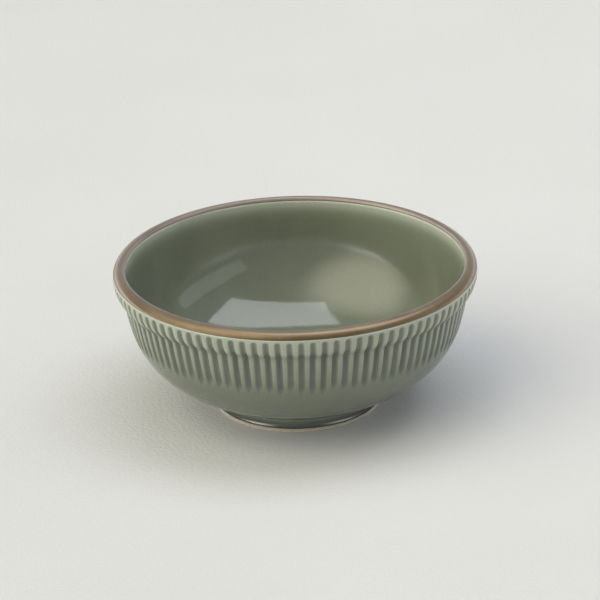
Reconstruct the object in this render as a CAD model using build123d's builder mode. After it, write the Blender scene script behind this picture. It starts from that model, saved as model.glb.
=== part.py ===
"""Fluted rice bowl: one fired clay body and the four glaze coats that lie on it.

Millimetres, +Z up. The origin is the middle of the foot ring's standing plane.
Cross sections are drawn as (radius, height) and revolved about Z.
"""
import os
from math import cos, radians, sin

from build123d import *

# ---- glazed outside, from the lip down ----
rim_radius = 70.0
bowl_height = 57.8
lip_outer_round = 3.6
lip_inner_round = 1.2
collar_edge_round = 0.8
ledge_corner_round = 1.2
# corners and curve handles: radius, height, direction into the wall in degrees
collar_bottom = (68.5, 48.8, 155)
ledge_bottom = (66.4, 46.3, 150)
side_handle = (62.8, 27.4, 166)
underside_handle = (60.8, 17.4, 113)
foot_neck = (31.2, 5.4, 150)

# ---- inside of the bowl ----
floor_height = 8.0
inside_handles = ((62.9, 42.5, 0), (63.2, 5.2, -45), (21.0, floor_height, -90))

# ---- foot ring ----
foot_radius = 32.3
foot_inner_radius = 27.8
foot_neck_round = 2.5
recess_height = 3.8            # ceiling of the hollow under the bowl
recess_corner_round = 1.5
standing_edge_round = 0.45

# ---- glaze coats ----
glaze = 0.35                   # thickness of every coat
band_outer_bottom = 55.4       # the brown band covers the lip above these heights
band_inner_bottom = 56.4
bare_clay_height = 1.75        # no glaze on the foot ring below this height
# line inside the clay that parts the inner coat from the outer one, from the axis up
mid_wall = ((0, 5.9), (30, 7.5), (50, 17.5), (60, 29), (64.1, 42), (66.3, 50), (66.7, band_outer_bottom))

# ---- flutes: grooves that run down the wall and over the ledge ----
flute_count = 100
flute_half_width = 1.05
flute_end_round = 0.95         # round upper end of a groove
glaze_in_flute = 0.5           # the glaze gathers in the grooves, so the clay's are larger
# floor of a groove, which runs out into the wall at its lower end
flute_floor = ((69.25, 54.3), (67.9, 49.3), (65.7, 46.0), (63.1, 34.2), (62.0, 29.4))


def inset(corner, distance):
    """A corner moved into the wall, from the glazed surface towards the clay."""
    radius, height, direction = corner
    turned = radians(direction)
    return (radius + distance * cos(turned), height + distance * sin(turned))


def half_section(depth):
    """Half of the bowl's cross section, taken this far below the glazed surface."""
    crown_radius = rim_radius - lip_outer_round
    outer_centre = (crown_radius, bowl_height - lip_outer_round)
    inner_centre = (crown_radius, bowl_height - lip_inner_round)
    foot_outside = foot_radius - depth
    foot_inside = foot_inner_radius + depth
    recess_top = recess_height + depth
    neck = inset(foot_neck, depth)
    collar_corner = inset(collar_bottom, depth)
    ledge_corner = inset(ledge_bottom, depth)

    with BuildSketch() as section:
        with BuildLine():
            lip_outer = CenterArc(outer_centre, lip_outer_round - depth, 90, -90)
            lip_inner = CenterArc(inner_centre, lip_inner_round - depth, 90, 90)
            inside_points = [inset(handle, depth) for handle in inside_handles]
            Bezier(lip_inner @ 1, *inside_points, (0, floor_height - depth))
            TangentArc(lip_outer @ 1, collar_corner, tangent=(0, -1))
            Line(collar_corner, ledge_corner)
            Bezier(ledge_corner, inset(side_handle, depth), inset(underside_handle, depth), neck)
            Polyline(
                neck,
                (foot_outside, bare_clay_height),
                (foot_outside, 0),
                (foot_inside, 0),
                (foot_inside, recess_top),
                (0, recess_top),
                (0, floor_height - depth),
            )
        make_face()
        corner_rounds = (
            (collar_corner, collar_edge_round),
            (ledge_corner, ledge_corner_round),
            (neck, foot_neck_round),
            ((foot_outside, 0), standing_edge_round),
            ((foot_inside, 0), standing_edge_round),
            ((foot_inside, recess_top), recess_corner_round),
        )
        for corner, size in corner_rounds:
            fillet(section.vertices().sort_by_distance(corner)[0], radius=size)
    return section.sketch


def coat_section(*window):
    """The glaze between the glazed surface and the clay, inside a window."""
    with BuildSketch() as section:
        add(half_section(0))
        add(half_section(glaze), mode=Mode.SUBTRACT)
        with BuildLine():
            Polyline(*window, close=True)
        make_face(mode=Mode.INTERSECT)
    return section.sketch


def flute_cutter(spread):
    """One groove as the block that cuts it, wider and deeper by the spread."""
    floor = [(radius - spread, height) for radius, height in flute_floor]
    top = flute_floor[0][1] + spread
    with BuildPart() as cutter:
        with BuildSketch(Plane.XZ):
            with BuildLine():
                Polyline(
                    (rim_radius + 1, top),
                    (floor[0][0], top),
                    *floor[1:],
                    (rim_radius + 1, flute_floor[-1][1]),
                    close=True,
                )
            make_face()
        extrude(amount=flute_half_width + spread, both=True)
        upper_corners = cutter.edges().filter_by(Axis.X).group_by(Axis.Z)[-1]
        fillet(upper_corners, radius=flute_end_round + spread)
    return cutter.part


flute_places = PolarLocations(0, flute_count, start_angle=180 / flute_count)

# ---- clay body ----
clay_cutter = flute_cutter(glaze_in_flute)
with BuildPart() as clay_body:
    with BuildSketch(Plane.XZ):
        add(half_section(glaze))
    revolve(axis=Axis.Z)
    with flute_places:
        add(clay_cutter, mode=Mode.SUBTRACT)

# ---- outer glaze: fills the grooves of the clay partly, so they show softer ----
glaze_cutter = flute_cutter(0)
with BuildPart() as outer_glaze:
    with BuildSketch(Plane.XZ):
        add(half_section(0))
        with BuildLine():
            Polyline(
                *mid_wall[1:],
                (rim_radius + 1, band_outer_bottom),
                (rim_radius + 1, bare_clay_height),
                (mid_wall[1][0], bare_clay_height),
                close=True,
            )
        make_face(mode=Mode.INTERSECT)
    revolve(axis=Axis.Z)
    with flute_places:
        add(glaze_cutter, mode=Mode.SUBTRACT)
    add(clay_body.part, mode=Mode.SUBTRACT)

# ---- inner glaze ----
with BuildPart() as inner_glaze:
    with BuildSketch(Plane.XZ):
        add(coat_section(*mid_wall, (mid_wall[-1][0], band_inner_bottom), (0, band_inner_bottom)))
    revolve(axis=Axis.Z)

# ---- rim glaze: the brown band over the lip ----
with BuildPart() as rim_glaze:
    with BuildSketch(Plane.XZ):
        add(
            coat_section(
                (foot_radius, band_inner_bottom),
                (mid_wall[-1][0], band_inner_bottom),
                mid_wall[-1],
                (rim_radius + 1, band_outer_bottom),
                (rim_radius + 1, bowl_height + 1),
                (foot_radius, bowl_height + 1),
            )
        )
    revolve(axis=Axis.Z)

# ---- base glaze: inside the foot ring ----
with BuildPart() as base_glaze:
    with BuildSketch(Plane.XZ):
        add(
            coat_section(
                (0, bare_clay_height),
                (mid_wall[1][0], bare_clay_height),
                mid_wall[1],
                mid_wall[0],
            )
        )
    revolve(axis=Axis.Z)

os.makedirs("parts", exist_ok=True)
clay_body.part.label = "clay_body"
export_step(clay_body.part, "parts/clay_body.step")
outer_glaze.part.label = "outer_glaze"
export_step(outer_glaze.part, "parts/outer_glaze.step")
inner_glaze.part.label = "inner_glaze"
export_step(inner_glaze.part, "parts/inner_glaze.step")
rim_glaze.part.label = "rim_glaze"
export_step(rim_glaze.part, "parts/rim_glaze.step")
base_glaze.part.label = "base_glaze"
export_step(base_glaze.part, "parts/base_glaze.step")
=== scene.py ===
"""Looks of the fluted rice bowl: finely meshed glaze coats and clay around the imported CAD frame.

Outlines are (radius, height) points in millimetres, turned about the bowl's axis into rows of points.
MM turns them into metres where a mesh or the camera is made. Lights, the floor and the depths of bumps
are in metres.
"""
import math

import bpy
import numpy as np
from mathutils import Matrix, Vector


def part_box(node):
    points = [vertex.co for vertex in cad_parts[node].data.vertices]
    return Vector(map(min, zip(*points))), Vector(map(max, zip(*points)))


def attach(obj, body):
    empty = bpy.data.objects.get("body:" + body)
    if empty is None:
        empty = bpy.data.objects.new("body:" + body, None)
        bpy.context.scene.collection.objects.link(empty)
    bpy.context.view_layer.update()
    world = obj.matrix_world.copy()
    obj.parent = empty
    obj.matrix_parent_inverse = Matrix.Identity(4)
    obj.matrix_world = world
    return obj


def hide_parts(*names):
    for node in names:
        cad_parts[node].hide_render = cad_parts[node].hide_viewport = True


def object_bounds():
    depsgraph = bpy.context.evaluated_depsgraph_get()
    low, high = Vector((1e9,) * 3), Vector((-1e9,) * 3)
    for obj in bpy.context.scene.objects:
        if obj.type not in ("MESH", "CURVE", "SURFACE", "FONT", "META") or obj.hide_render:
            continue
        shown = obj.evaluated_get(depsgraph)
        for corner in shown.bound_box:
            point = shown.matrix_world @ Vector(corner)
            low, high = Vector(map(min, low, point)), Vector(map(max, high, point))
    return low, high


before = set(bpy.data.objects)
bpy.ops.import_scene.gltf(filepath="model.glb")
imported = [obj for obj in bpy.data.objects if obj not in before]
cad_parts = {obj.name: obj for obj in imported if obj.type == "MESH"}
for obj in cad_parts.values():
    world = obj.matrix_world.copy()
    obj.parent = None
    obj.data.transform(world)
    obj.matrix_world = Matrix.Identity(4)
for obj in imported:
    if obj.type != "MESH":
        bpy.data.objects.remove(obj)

cad_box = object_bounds()

MM = 0.001

# ---- sizes, from the frame where it has them ----
COAT = 0.35                                        # glaze thickness, as in the CAD
RIM_RADIUS = cad_box[1][0] / MM
HEIGHT = cad_box[1][2] / MM
BAND_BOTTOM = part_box("rim_glaze")[0][2] / MM       # edge of the brown band on the outside
BAND_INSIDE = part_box("inner_glaze")[1][2] / MM     # and on the inside
BARE_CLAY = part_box("outer_glaze")[0][2] / MM       # no glaze on the foot ring below this height
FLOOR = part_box("inner_glaze")[0][2] / MM + COAT
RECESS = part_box("base_glaze")[1][2] / MM - COAT    # ceiling of the hollow inside the foot ring
FOOT_RADIUS = 32.3
FOOT_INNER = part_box("base_glaze")[1][0] / MM - COAT
CLAY_STEP = 0.12                                   # how far the foot ring's bare clay stands back
CLAY_FOOT_RADIUS = FOOT_RADIUS - CLAY_STEP
CLAY_FOOT_INNER = FOOT_INNER + COAT
LIP_OUTER = 3.6                                    # round of the lip outside its crown
LIP_INNER = 1.2                                    # and inside it

# corners and curve handles of the glazed surface, as in the CAD section
COLLAR_BOTTOM = (68.5, 48.8)
LEDGE_BOTTOM = (66.4, 46.3)
BODY_HANDLES = ((62.8, 27.4), (60.8, 17.4))
FOOT_NECK = (31.2, 5.4)
INSIDE_HANDLES = ((62.9, 42.5), (63.2, 5.2), (21.0, FLOOR))
CORNER_SOFTNESS = 0.5                              # length over which the outside's corners are rounded
RECESS_SOFTNESS = 0.6                              # and the recess's
NECK_ROUND = 2.5                                   # hollow round above the foot ring
STANDING_EDGE = 0.4                                # round edges of the face that the bowl stands on

# ---- flutes: the ridges between upright grooves ----
FLUTES = 100
FLUTE_TURN = 0.5                                   # a ridge stands at +X, as in the CAD
FLUTE_DEPTH = 0.75
FLUTE_HALF_WIDTH = 1.36                            # out to where a groove's soft edge meets the wall
FLUTE_TOP = 54.6
FLUTE_FADE = 34.0                                  # a groove starts to run out below this height
FLUTE_END = 29.2
FLUTED_FROM = FLUTE_END - 1                        # lower than any groove's end
GROOVE_FLATNESS = 2.6                              # the higher, the flatter a groove's floor
GROOVE_EASE = 1.25                                 # above 1, its sides meet the wall without a corner
GROOVE_BLEND = 0.1                                 # softness of the line where they meet
CLAY_GROOVE = 0.15                                 # share by which a groove is deeper in the clay
ACROSS_FLUTE = (0, 0.09, 0.17, 0.225, 0.275, 0.33, 0.41, 0.5)   # columns from a groove to a ridge

# seeded differences from groove to groove: one row for the lower ends, one for the glaze depth
FLUTE_WANDER = np.clip(np.random.default_rng(5).normal(size=(2, FLUTES)), -1.5, 1.5)
END_WANDER = 0.6                                   # how far the lower ends of the grooves differ
POOL_WANDER = 0.03                                 # how much the glaze depth in them differs

# ---- how deep the glaze looks, 0 thin to 1 deep, with painted shade and light in places ----
# (height, depth) on the ridges and the plain wall of the outside, and at the bottom of its grooves
# Outside: paler on the collar, darker towards the foot. Near 1 at 1.7 to 3.1 mm is pooled glaze and
# above it; the rise at 45.5 to 47 mm is pooled glaze and painted shade under the collar.
# painted shade on the foot wall; the thin values at 4 to 6.2 mm are painted light in the hollow round
OUTSIDE_POOL_AND_SHADE = (
    (1.7, 1.0), (3.1, 0.96), (4.0, 0.7), (5.2, 0.42), (6.2, 0.5), (7.5, 0.73), (15.0, 0.72), (24.0, 0.67),
    (31.0, 0.62), (38.0, 0.46), (44.0, 0.37), (45.5, 0.4), (47.0, 0.43), (48.4, 0.27), (49.5, 0.22),
    (53.0, 0.23), (54.8, 0.23), (55.2, 0.15), (55.4, 0.13),
)
# deepest at 46 mm, just under the collar: pooled glaze and painted shade under the ledge
GROOVE_POOL_AND_SHADE = ((30.0, 0.8), (38.0, 0.78), (46.0, 0.86), (48.2, 0.7), (54.0, 0.6))
# (distance down from the brown band's edge, depth) on the inside
INSIDE_POOL = (
    (0.0, 0.06), (0.7, 0.1), (1.2, 0.17), (2.2, 0.23), (3.0, 0.31), (4.0, 0.42), (5.5, 0.51), (7.5, 0.55),
    (60.0, 0.565),
)
RECESS_POOL = 0.75
HIDDEN_POOL = 0.5                                  # on plain rows of a coat's side against the clay
CLAY_POOL = 0

# ---- distances between the rows of points: (height, distance) pairs, or one for all heights ----
OUTSIDE_ROWS = (
    (56, 0.25), (53, 0.3), (52, 0.9), (50, 0.9), (49, 0.33), (45, 0.33), (44, 1.2), (38, 1.2),
    (36, 0.6), (31, 0.6), (28, 1.5), (12, 1.8), (7, 0.9), (2, 0.5),
)
INSIDE_ROWS = ((8, 1.2), (20, 1.2), (45, 1.0), (56, 0.2))
RECESS_ROWS = ((0, 0.7),)
CLAY_OUTSIDE_ROWS = ((57, 0.6), (50, 0.9), (44, 0.8), (30, 1.2), (12, 2.5), (2, 1.0))
CLAY_INSIDE_ROWS = ((8, 2.5), (45, 2.0), (57.5, 0.6))
CLAY_RECESS_ROWS = ((0, 1.0),)
HIDDEN_EVERY = 3                                   # the large coats keep every third row on the clay
SMALL_HIDDEN_EVERY = 2                             # and the small ones every second

# ---- the brown band's rows ----
BAND_ROWS = 41
BAND_PROUD = 0.05                                  # how far the band stands out past the green coats
BAND_FULLNESS = 0.3                                # the lower, the sooner it does so past its edges

PLAIN_COLUMNS = 350                                # a quarter of the columns in a fluted row
ON_AXIS = 0.02                                     # a row with a smaller radius is a single point


# ---------------------------------------------------------------- outlines

def bezier(points, count):
    """Points along a Bezier curve of any degree."""
    points = np.array(points, float)
    t = np.linspace(0, 1, count)[:, None]
    degree = len(points) - 1
    return sum(
        math.comb(degree, k) * t**k * (1 - t) ** (degree - k) * points[k] for k in range(degree + 1)
    )


def arc(centre, radius, start, end, count):
    """Points on an arc, angles in degrees, anticlockwise from outwards."""
    turn = np.radians(np.linspace(start, end, count))
    return np.array(centre) + radius * np.stack([np.cos(turn), np.sin(turn)], axis=1)


def tangent_arc(start, end, count):
    """An arc that leaves start straight down and ends at end."""
    drop = start[1] - end[1]
    aside = start[0] - end[0]
    radius = (aside**2 + drop**2) / (2 * aside)
    reach = math.degrees(math.asin(drop / radius))
    return arc((start[0] - radius, start[1]), radius, 0, -reach, count)


def path_length(outline):
    """Distance along an outline at each of its points."""
    steps = np.hypot(*np.diff(outline, axis=0).T)
    return np.concatenate([[0], np.cumsum(steps)])


def resample(outline, stations):
    """The outline's points at these distances along it."""
    along = path_length(outline)
    return np.stack([np.interp(stations, along, outline[:, k]) for k in (0, 1)], axis=1)


def softened(outline, reach):
    """The outline with its corners rounded over about this length. Its ends stay."""
    step = 0.05
    fine = resample(outline, np.arange(0, path_length(outline)[-1], step))
    half = int(3 * reach / step)
    weight = np.exp(-0.5 * (np.arange(-half, half + 1) * step / reach) ** 2)
    before = 2 * fine[0] - fine[half:0:-1]
    after = 2 * fine[-1] - fine[-2 : -half - 2 : -1]
    padded = np.concatenate([before, fine, after])
    return np.stack([np.convolve(padded[:, k], weight / weight.sum(), "valid") for k in (0, 1)], axis=1)


def left_of(outline):
    """Unit vectors to the left of travel at each point of an outline."""
    along = np.gradient(outline, axis=0)
    along /= np.hypot(along[:, 0], along[:, 1])[:, None]
    return np.stack([-along[:, 1], along[:, 0]], axis=1)


def spaced(outline, spacing):
    """The outline resampled: spacing is (height, step) pairs, and steps change between them."""
    heights, steps = np.array(sorted(spacing)).T
    along = path_length(outline)
    stations = [0.0]
    while stations[-1] < along[-1]:
        height = np.interp(stations[-1], along, outline[:, 1])
        stations.append(stations[-1] + np.interp(height, heights, steps))
    stations = np.array(stations) * along[-1] / stations[-1]
    return resample(outline, stations)


def unit(vector):
    """The vector at length 1."""
    return vector / np.hypot(*vector)


def cove_between(body, foot_end):
    """The hollow round from the underside into the foot ring, and the body cut back to it."""
    corner = body[-1]
    before_corner = body[-12]
    down = unit(foot_end - corner)
    back = unit(before_corner - corner)
    half = math.acos(down @ back) / 2
    middle = corner + unit(down + back) * NECK_ROUND / math.sin(half)
    first = corner + back * NECK_ROUND / math.tan(half)
    start = math.degrees(math.atan2(*(first - middle)[::-1]))
    cove = arc(middle, NECK_ROUND, start, start + 180 - 2 * math.degrees(half), count=24)
    gap = 0.1
    return cove, body[body[:, 0] > first[0] + gap]


def outside_outline():
    """The glazed outside, from the crown of the lip down to the bare clay."""
    crown = (RIM_RADIUS - LIP_OUTER, HEIGHT - LIP_OUTER)
    lip = arc(crown, LIP_OUTER, 90, 0, count=60)
    collar = tangent_arc((RIM_RADIUS, HEIGHT - LIP_OUTER), COLLAR_BOTTOM, count=60)
    body = bezier([LEDGE_BOTTOM, *BODY_HANDLES, FOOT_NECK], count=400)
    foot = np.array([(FOOT_RADIUS, BARE_CLAY)])
    cove, body = cove_between(body, foot[0])
    return softened(np.concatenate([lip, collar[1:], body, cove, foot]), CORNER_SOFTNESS)


def inside_outline():
    """The glazed inside, from the middle of the floor up to the crown of the lip."""
    crown = (RIM_RADIUS - LIP_OUTER, HEIGHT - LIP_INNER)
    lip = arc(crown, LIP_INNER, 180, 90, count=30)
    wall = bezier([(0, FLOOR), *INSIDE_HANDLES[::-1], lip[0]], count=500)
    return np.concatenate([wall[:-1], lip])


def between(outline, low, high):
    """The part of an outline with heights from low to high."""
    height = outline[:, 1]
    tiny = 1e-6
    return outline[(height >= low - tiny) & (height <= high + tiny)]


# ---------------------------------------------------------------- rows and meshes

def smooth_step(low, high, value):
    """0 below low, 1 above high, smooth between."""
    t = np.clip((value - low) / (high - low), 0, 1)
    return t * t * (3 - 2 * t)


def ring(turn, radius, height):
    """One row of points about the axis."""
    height = np.broadcast_to(height, len(turn))
    return np.stack([radius * np.cos(turn), radius * np.sin(turn), height], axis=1)


def pool_and_shading_at(table, places):
    """How deep the glaze looks at these places, with its painted shade and light, from one of the tables
    above.
    """
    return np.interp(places, *np.array(table).T)


def plain_row(point, pool):
    """A row of the same outline point all round. One on the axis is a single point."""
    if point[0] < ON_AXIS:
        return np.array([(0, 0, point[1])]), np.array([pool])
    turn = 2 * np.pi * (np.arange(PLAIN_COLUMNS) / PLAIN_COLUMNS + FLUTE_TURN / FLUTES)
    return ring(turn, point[0], point[1]), np.full(PLAIN_COLUMNS, pool)


def plain_rows(outline, pool):
    """Rows for a plain stretch, with one glaze depth or one for each point."""
    return [plain_row(point, depth_and_shade) for point, depth_and_shade in zip(outline, np.broadcast_to(pool, len(outline)))]


def groove_cut(shares, radius, height, lift):
    """How deep the grooves are round a row. Shares count flutes, and a whole one is mid-groove."""
    across = np.abs((shares + 0.5) % 1 - 0.5) * 2 * np.pi * radius / FLUTES
    above = max(0.0, height - (FLUTE_TOP - FLUTE_HALF_WIDTH))
    reach = np.hypot(across, above) / FLUTE_HALF_WIDTH
    bowl = np.clip(1 - reach**GROOVE_FLATNESS, 0, 1) ** GROOVE_EASE
    run_out = FLUTE_DEPTH * (1 - smooth_step(FLUTE_END + lift, FLUTE_FADE + lift, height))
    cut = FLUTE_DEPTH * bowl - run_out
    # 0 where the cut is negative, with a soft start, and still the full depth where it is deepest
    cut = (cut + np.sqrt(cut**2 + GROOVE_BLEND**2) - GROOVE_BLEND) / 2
    cut = cut * (FLUTE_DEPTH + GROOVE_BLEND) / FLUTE_DEPTH
    return np.maximum(cut, 0)


def fluted_row(point, outwards, inset, every):
    """A row across the flutes, this far under the glazed surface, keeping every so many columns."""
    half = np.array(ACROSS_FLUTE)
    one = np.concatenate([half, 1 - half[-2:0:-1]])[::every]
    shares = (np.arange(FLUTES)[:, None] + one).ravel()
    turn = 2 * np.pi * (shares + FLUTE_TURN) / FLUTES
    end, tint = FLUTE_WANDER[:, np.round(shares).astype(int) % FLUTES]
    radius, height = point
    cut = groove_cut(shares, radius, height, end * END_WANDER)
    sunk = cut * (1 + CLAY_GROOVE * (inset > 0)) + inset
    ridge = pool_and_shading_at(OUTSIDE_POOL_AND_SHADE, height)
    groove = pool_and_shading_at(GROOVE_POOL_AND_SHADE, height) + tint * POOL_WANDER
    pool = ridge + (groove - ridge) * (cut / FLUTE_DEPTH)
    return ring(turn, radius - outwards[0] * sunk, height - outwards[1] * sunk), pool


def strip(first, first_count, second, second_count):
    """Faces between two rows of points. One row's count is a whole number of times the other's."""
    if second_count == 1:
        return [(first + k, second, first + (k + 1) % first_count) for k in range(first_count)]
    if first_count == 1:
        return [(first, second + k, second + (k + 1) % second_count) for k in range(second_count)]
    count = min(first_count, second_count)
    first_share = first_count // count
    second_share = second_count // count
    faces = []
    for k in range(count):
        down = [first + (k * first_share + j) % first_count for j in range(first_share, -1, -1)]
        up = [second + (k * second_share + j) % second_count for j in range(second_share + 1)]
        faces.append((*down, *up))
    return faces


def bake_map(mesh, rows, closed):
    """A UV layer for baking: once around is the map's width, once over all the rows its height.

    A face across the map's edge runs on past it, and a corner on the axis takes its face's middle.
    """
    counts = [len(points) for points, _ in rows]
    around = np.concatenate([np.arange(count) / count for count in counts])
    profile = [(np.hypot(*points[0, :2]), points[0, 2]) for points, _ in rows]
    along = path_length(np.array(profile + profile[: int(closed)]))
    height = np.repeat(along[: len(rows)] / along[-1], counts)
    on_axis = np.repeat([count == 1 for count in counts], counts)
    corners = np.empty(len(mesh.loops), np.int32)
    mesh.loops.foreach_get("vertex_index", corners)
    u = around[corners]
    v = height[corners]
    for face in mesh.polygons:
        own = slice(face.loop_start, face.loop_start + face.loop_total)
        rim = ~on_axis[corners[own]]
        u[own][rim & (u[own] < 0.5)] += float(np.ptp(u[own][rim]) > 0.5)
        u[own][~rim] = u[own][rim].mean()
        v[own][v[own] < 0.5] += float(np.ptp(v[own]) > 0.5)
    layer = mesh.uv_layers.new(name="OFBake")
    layer.data.foreach_set("uv", np.stack([u, v], axis=1).astype(np.float32).ravel())


def lathe(name, rows, closed):
    """A piece from rows of (points, glaze depth). A closed one joins its last row to its first."""
    counts = [len(points) for points, _ in rows]
    starts = np.concatenate([[0], np.cumsum(counts)])[:-1].tolist()
    seconds = [*range(1, len(rows)), 0] if closed else range(1, len(rows))
    faces = []
    for first, second in enumerate(seconds):
        faces += strip(starts[first], counts[first], starts[second], counts[second])
    mesh = bpy.data.meshes.new(name)
    points = np.concatenate([points for points, _ in rows])
    mesh.from_pydata((points * MM).tolist(), [], faces)
    mesh.validate()
    pool = mesh.attributes.new("pool", "FLOAT", "POINT")
    depths = np.concatenate([depth_and_shade for _, depth_and_shade in rows])
    pool.data.foreach_set("value", depths.astype(np.float32))
    mesh.shade_smooth()
    bake_map(mesh, rows, closed)
    piece = bpy.data.objects.new(name, mesh)
    bpy.context.collection.objects.link(piece)
    return piece


# ---------------------------------------------------------------- the bowl's pieces

def make_outer_glaze():
    """The green outside coat: fluted rows, then plain ones, then its hidden side on the clay."""
    outline = spaced(between(outside_outline(), BARE_CLAY, BAND_BOTTOM), OUTSIDE_ROWS)
    seen = []
    hidden = []
    for k, (point, outwards) in enumerate(zip(outline, left_of(outline))):
        kept = k % HIDDEN_EVERY == 0 or k == len(outline) - 1
        if point[1] > FLUTED_FROM:
            seen.append(fluted_row(point, outwards, inset=0, every=1))
            under = fluted_row(point, outwards, inset=COAT, every=2)
        else:
            seen.append(plain_row(point, pool_and_shading_at(OUTSIDE_POOL_AND_SHADE, point[1])))
            radius, height = point - outwards * COAT
            under = plain_row((radius, min(max(height, BARE_CLAY), BAND_BOTTOM)), HIDDEN_POOL)
        if kept:
            hidden.append(under)
    return lathe("outer_glaze_coat", seen + hidden[::-1], closed=True)


def make_inner_glaze():
    """The green inside coat. It is thin and pale for a few millimetres under the lip."""
    outline = spaced(between(inside_outline(), 0, BAND_INSIDE), INSIDE_ROWS)
    seen = plain_rows(outline, pool_and_shading_at(INSIDE_POOL, BAND_INSIDE - outline[:, 1]))
    hidden = plain_rows((outline - left_of(outline) * COAT)[::-HIDDEN_EVERY], HIDDEN_POOL)
    hidden[-1] = plain_row((0, FLOOR - COAT), HIDDEN_POOL)
    return lathe("inner_glaze_coat", seen + hidden, closed=False)


def make_rim_glaze():
    """The brown band over the lip, a little proud of the green coats.

    Its glaze depths say instead how far over the band a row is, from the inside to the outside; the
    brown's colour turns this into a painted highlight over the crown and painted shade at the lower edge.
    """
    inside = between(inside_outline(), BAND_INSIDE, HEIGHT)
    outside = between(outside_outline(), BAND_BOTTOM, HEIGHT)
    outline = np.concatenate([inside, outside[1:]])
    shares = np.linspace(0, 1, BAND_ROWS)
    outline = resample(outline, shares * path_length(outline)[-1])
    outwards = left_of(outline)
    proud = BAND_PROUD * np.sin(np.pi * shares) ** BAND_FULLNESS
    seen = plain_rows(outline + outwards * proud[:, None], shares)
    hidden = plain_rows((outline - outwards * COAT)[::-SMALL_HIDDEN_EVERY], shares[-1])
    return lathe("rim_glaze_coat", seen + hidden, closed=True)


def recess_outline(radius, ceiling, rows):
    """The hollow inside the foot ring, from the bare clay up and in to the axis."""
    corners = np.array([(radius, BARE_CLAY), (radius, ceiling), (0, ceiling)])
    outline = spaced(softened(corners, RECESS_SOFTNESS), rows)
    outline[-1, 0] = 0
    return outline


def make_base_glaze():
    """The green coat inside the foot ring."""
    outline = recess_outline(FOOT_INNER, RECESS, RECESS_ROWS)
    seen = plain_rows(outline, RECESS_POOL)
    hidden = plain_rows((outline + left_of(outline) * COAT)[::-SMALL_HIDDEN_EVERY], HIDDEN_POOL)
    return lathe("base_glaze_coat", hidden + seen, closed=False)


def standing_edge_outline():
    """The bare clay of the foot ring: down its outside, across its standing face and up its inside."""
    edge = STANDING_EDGE
    outer = CLAY_FOOT_RADIUS - edge
    inner = CLAY_FOOT_INNER + edge
    return np.concatenate([
        [(CLAY_FOOT_RADIUS, BARE_CLAY)],
        arc((outer, edge), edge, 0, -90, count=10),
        np.linspace((outer, 0), (inner, 0), num=6)[1:-1],
        arc((inner, edge), edge, -90, -180, count=10),
        [(CLAY_FOOT_INNER, BARE_CLAY)],
    ])


def make_clay_body():
    """The fired clay under the coats. Only the foot ring's standing edge shows."""
    inside = spaced(between(inside_outline(), 0, HEIGHT), CLAY_INSIDE_ROWS)
    inner = inside - left_of(inside) * COAT
    inner[0, 0] = 0
    rows = plain_rows(inner, CLAY_POOL)
    outside = spaced(between(outside_outline(), BARE_CLAY, HEIGHT), CLAY_OUTSIDE_ROWS)
    for point, outwards in zip(outside[1:], left_of(outside)[1:]):
        if FLUTED_FROM < point[1] < BAND_BOTTOM:
            rows.append(fluted_row(point, outwards, inset=COAT, every=2))
        else:
            rows.append(plain_row(point - outwards * COAT, CLAY_POOL))
    rows += plain_rows(standing_edge_outline(), CLAY_POOL)
    recess = recess_outline(CLAY_FOOT_INNER, RECESS + COAT, CLAY_RECESS_ROWS)
    rows += plain_rows(recess[1:], CLAY_POOL)
    return lathe("clay_foot_and_wall", rows, closed=False)


# ---------------------------------------------------------------- materials

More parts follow.
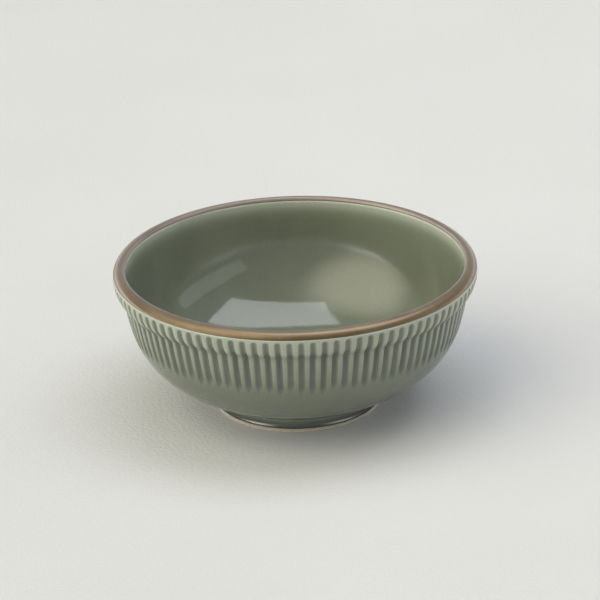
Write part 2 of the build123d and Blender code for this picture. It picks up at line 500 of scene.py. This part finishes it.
class Nodes:
    """A short way to add shader nodes to one material or world and link them."""

    def __init__(self, name, kind=bpy.data.materials):
        self.owner = kind.new(name)
        self.owner.use_nodes = True
        self.tree = self.owner.node_tree

    def feed(self, socket, value):
        """Links another node's output to a socket, or sets the socket's own value."""
        if isinstance(value, bpy.types.NodeSocket):
            self.tree.links.new(value, socket)
        else:
            socket.default_value = value

    def add(self, kind, inputs=(), **settings):
        """A new node with these inputs fed and these settings made."""
        node = self.tree.nodes.new(kind)
        for name, value in settings.items():
            setattr(node, name, value)
        for key, value in dict(inputs).items():
            self.feed(node.inputs[key], value)
        return node

    def pool(self):
        """The glaze depth, with its painted shade and light, that is stored at each point of a mesh."""
        return self.add("ShaderNodeAttribute", attribute_name="pool").outputs["Fac"]

    def noise(self, scale, detail, rough):
        """Noise fixed to the object. Scale is about how many lumps there are in a metre."""
        place = self.add("ShaderNodeTexCoord").outputs["Object"]
        return self.add("ShaderNodeTexNoise", {
            "Vector": place, "Scale": scale, "Detail": detail, "Roughness": rough,
        }).outputs["Fac"]

    def spread(self, value, low, high, to_low, to_high, shape="LINEAR"):
        """The stretch of a value from low to high, moved to run from to_low to to_high."""
        return self.add("ShaderNodeMapRange", {
            "Value": value, "From Min": low, "From Max": high, "To Min": to_low, "To Max": to_high,
        }, interpolation_type=shape).outputs["Result"]

    def smooth(self, *stretch):
        """The same stretch, with soft ends."""
        return self.spread(*stretch, shape="SMOOTHSTEP")

    def vary(self, noise, low, high):
        """A noise's usual values, 0.3 to 0.7, moved to run from low to high."""
        return self.spread(noise, 0.3, 0.7, low, high)

    def maths(self, operation, a, b):
        return self.add("ShaderNodeMath", {0: a, 1: b}, operation=operation).outputs[0]

    def vectors(self, operation, inputs):
        return self.add("ShaderNodeVectorMath", inputs, operation=operation).outputs

    def ramp(self, value, stops):
        """A colour from a value, by (position, colour) stops."""
        node = self.add("ShaderNodeValToRGB", {"Fac": value})
        ramp = node.color_ramp
        while len(ramp.elements) < len(stops):
            ramp.elements.new(0.5)
        for element, (position, colour) in zip(ramp.elements, stops):
            element.position = position
            element.color = (*colour, 1)
        return node.outputs["Color"]

    def mix(self, share, a, b):
        return self.add("ShaderNodeMix", {0: share, 6: a, 7: b}, data_type="RGBA").outputs[2]

    def bump(self, height, distance, **under):
        """A bumped normal. It lies on another one if that is passed as Normal."""
        inputs = {"Height": height, "Distance": distance, **under}
        return self.add("ShaderNodeBump", inputs).outputs["Normal"]

    def finish(self, **sockets):
        """Feeds the material's shader and hands back the material."""
        for name, value in sockets.items():
            self.feed(self.tree.nodes["Principled BSDF"].inputs[name.replace("_", " ")], value)
        return self.owner


def celadon(name):
    """Grey-green gloss glaze: pale where it runs thin on edges, deep where it gathers; its darkest values
    are also painted shade on the foot wall and under the collar, and thin values paint light in the
    hollow round above the foot.
    """
    n = Nodes(name)
    cloud = n.vary(n.noise(38, 4, 0.6), -0.03, 0.03)
    fine = n.vary(n.noise(900, 2, 0.5), -0.01, 0.01)
    depth_and_shade = n.maths("ADD", n.maths("ADD", n.pool(), cloud), fine)
    # near 1, the darkest stops are pooled glaze and painted shade on the foot wall
    colour = n.ramp(depth_and_shade, (
        (0.0, (0.72, 0.71, 0.63)),
        (0.12, (0.4, 0.425, 0.34)),
        (0.3, (0.275, 0.3, 0.23)),
        (0.58, (0.15, 0.168, 0.122)),
        (0.82, (0.083, 0.095, 0.068)),
        (1.0, (0.03, 0.032, 0.021)),
    ))
    waves = n.bump(n.noise(60, 2, 0.4), 0.00012)
    skin = n.bump(n.noise(1600, 2, 0.5), 0.000004, Normal=waves)
    rough = n.vary(n.noise(120, 3, 0.6), 0.07, 0.12)
    return n.finish(Base_Color=colour, Roughness=rough, Normal=skin, IOR=1.68)


def iron_brown(name):
    """The satin band: grey-brown inside; the gold over the crown is a painted highlight and the dark at
    its lower edge is painted shade.
    """
    n = Nodes(name)
    across = n.pool()
    cloud = n.noise(70, 4, 0.6)
    fine = n.noise(1400, 3, 0.6)
    wander = n.maths("ADD", across, n.vary(n.noise(160, 3, 0.6), -0.035, 0.035))
    # the golden stops over the crown are a painted highlight, the dark stops at the lower edge painted
    # shade
    colour = n.ramp(wander, (
        (0.0, (0.3, 0.252, 0.218)),
        (0.15, (0.275, 0.228, 0.192)),
        (0.42, (0.225, 0.176, 0.128)),
        (0.64, (0.22, 0.164, 0.093)),
        (0.78, (0.19, 0.129, 0.062)),
        (0.89, (0.125, 0.084, 0.041)),
        (1.0, (0.12, 0.083, 0.046)),
    ))
    tone = n.maths("ADD", n.vary(cloud, 0.84, 1.08), n.vary(fine, -0.06, 0.06))
    colour = n.vectors("SCALE", {0: colour, "Scale": tone})[0]
    grain = n.bump(fine, 0.000012)
    rough = n.maths("ADD", n.vary(cloud, 0.28, 0.36), n.spread(across, 0.0, 0.55, 0.16, 0.0))
    return n.finish(Base_Color=colour, Roughness=rough, Normal=grain, IOR=1.6, Metallic=0.5)


def bare_clay(name):
    """Unglazed buff stoneware with fine sand and a few iron specks."""
    n = Nodes(name)
    sand = n.noise(1100, 4, 0.7)
    specks = n.spread(n.noise(520, 2, 0.5), 0.66, 0.72, 0, 1)
    base = n.ramp(sand, ((0.3, (0.37, 0.33, 0.26)), (0.7, (0.5, 0.45, 0.36))))
    colour = n.mix(specks, base, (0.3, 0.22, 0.15, 1))
    return n.finish(Base_Color=colour, Roughness=0.88, Normal=n.bump(sand, 0.00006))


def linen(name):
    """Pale grey cloth with a fine weave."""
    n = Nodes(name)
    colour = n.ramp(n.noise(6, 3, 0.5), ((0.3, (0.625, 0.625, 0.625)), (0.7, (0.655, 0.655, 0.655))))
    weave = n.bump(n.noise(700, 3, 0.6), 0.0002)
    return n.finish(Base_Color=colour, Roughness=0.95, Normal=weave)


# ---------------------------------------------------------------- stage

def make_floor():
    """A plain pale floor, wide enough that its edge is far away in every view."""
    bpy.ops.mesh.primitive_plane_add(size=40)
    floor = bpy.context.object
    floor.name = "floor"
    floor.data.materials.append(linen("pale_cloth"))


def make_camera():
    """A long lens, a good metre away, looking down at the bowl."""
    elevation = math.radians(23.502)
    turn = math.radians(0.47)
    roll = math.radians(-1.591)
    distance = 1271.85
    aim_side, aim_height = 1.587, 41.26
    data = bpy.data.cameras.new("camera")
    data.sensor_width = 36
    data.lens = 198
    data.clip_start = 0.01
    camera = bpy.data.objects.new("camera", data)
    bpy.context.collection.objects.link(camera)
    aside = Vector((math.cos(turn), math.sin(turn), 0))
    ahead = Vector((-math.sin(turn), math.cos(turn), 0)) * math.cos(elevation)
    ahead -= Vector((0, 0, math.sin(elevation)))
    upright = aside.cross(ahead)
    right = aside * math.cos(roll) + upright * math.sin(roll)
    up = right.cross(ahead)
    place = (aside * aim_side + Vector((0, 0, aim_height)) - ahead * distance) * MM
    camera.matrix_world = Matrix.Translation(place) @ Matrix((right, up, -ahead)).transposed().to_4x4()
    bpy.context.scene.camera = camera


def direction_to(azimuth, elevation):
    """Unit vector, from degrees. Azimuth 0 is +Y and 90 is +X."""
    azimuth = math.radians(azimuth)
    elevation = math.radians(elevation)
    level = math.cos(elevation)
    return Vector((level * math.sin(azimuth), level * math.cos(azimuth), math.sin(elevation)))


def area_light(name, direction, distance, size, power, colour):
    """A soft light that faces the bowl. direction is (azimuth, elevation) in degrees."""
    towards = direction_to(*direction)
    data = bpy.data.lights.new(name, "AREA")
    data.shape = "RECTANGLE"
    data.size, data.size_y = size
    data.energy = power
    data.color = colour
    light = bpy.data.objects.new(name, data)
    bpy.context.collection.objects.link(light)
    light.location = towards * distance
    nearly_overhead = towards.z > 0.93
    level = Vector((1, 0, 0)) if nearly_overhead else Vector((0, 0, 1)).cross(towards).normalized()
    upright = towards.cross(level).normalized()
    level = upright.cross(towards)
    light.rotation_euler = Matrix((level, upright, towards)).transposed().to_euler()


def make_world():
    """A pale room, bright low down at the sides, with the soft glow of a warm wall at the left."""
    n = Nodes("studio", bpy.data.worlds)
    bpy.context.scene.world = n.owner
    direction = n.add("ShaderNodeTexCoord").outputs["Generated"]
    parts = n.add("ShaderNodeSeparateXYZ", {0: direction}).outputs
    horizon = n.smooth(parts["Z"], 0.08, 0.25, 1.5, 0.0)
    behind = n.smooth(parts["Y"], -0.95, -0.4, 0.1, 1.0)
    left = n.smooth(parts["X"], -0.9, -0.4, 3.2, 0.0)
    right = n.smooth(parts["X"], 0.45, 0.9, 0.0, 1.1)
    around = n.maths("ADD", n.maths("ADD", left, right), behind)
    far_walls = 0.36
    room = n.maths("ADD", n.maths("MULTIPLY", horizon, around), far_walls)
    towards = tuple(direction_to(-118, 43))
    facing = n.vectors("DOT_PRODUCT", {0: direction, 1: towards})["Value"]
    glow = n.smooth(facing, 0.73, 0.98, 0.0, 2.2)
    cool = n.vectors("SCALE", {0: (0.95, 0.97, 1.0), "Scale": room})[0]
    warm = n.vectors("SCALE", {0: (1.0, 0.95, 0.74), "Scale": glow})[0]
    both = n.vectors("ADD", {0: cool, 1: warm})[0]
    n.feed(n.tree.nodes["Background"].inputs["Color"], both)


def make_lights():
    """A soft window overhead and a dim strip at the right."""
    area_light(
        "overhead_window", direction=(63, 77), distance=1.54, size=(1.5, 0.9), power=11.0,
        colour=(0.92, 0.95, 1.0),
    )
    area_light(
        "right_strip", direction=(106, 28), distance=1.5, size=(1.8, 0.36), power=1.2,
        colour=(0.93, 1.0, 0.96),
    )


# ---------------------------------------------------------------- build

def clothe(piece, node, material):
    """Puts a finished piece in a CAD node's place."""
    piece.data.materials.append(material)
    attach(piece, "root")
    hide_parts(node)


green = celadon("celadon_with_painted_shade")
clothe(make_outer_glaze(), "outer_glaze", green)
clothe(make_inner_glaze(), "inner_glaze", green)
clothe(make_base_glaze(), "base_glaze", green)
clothe(make_rim_glaze(), "rim_glaze", iron_brown("iron_brown_with_painted_sheen"))
clothe(make_clay_body(), "clay_body", bare_clay("buff_clay"))
make_floor()
make_camera()
make_world()
make_lights()
bpy.context.scene.view_settings.view_transform = "Standard"
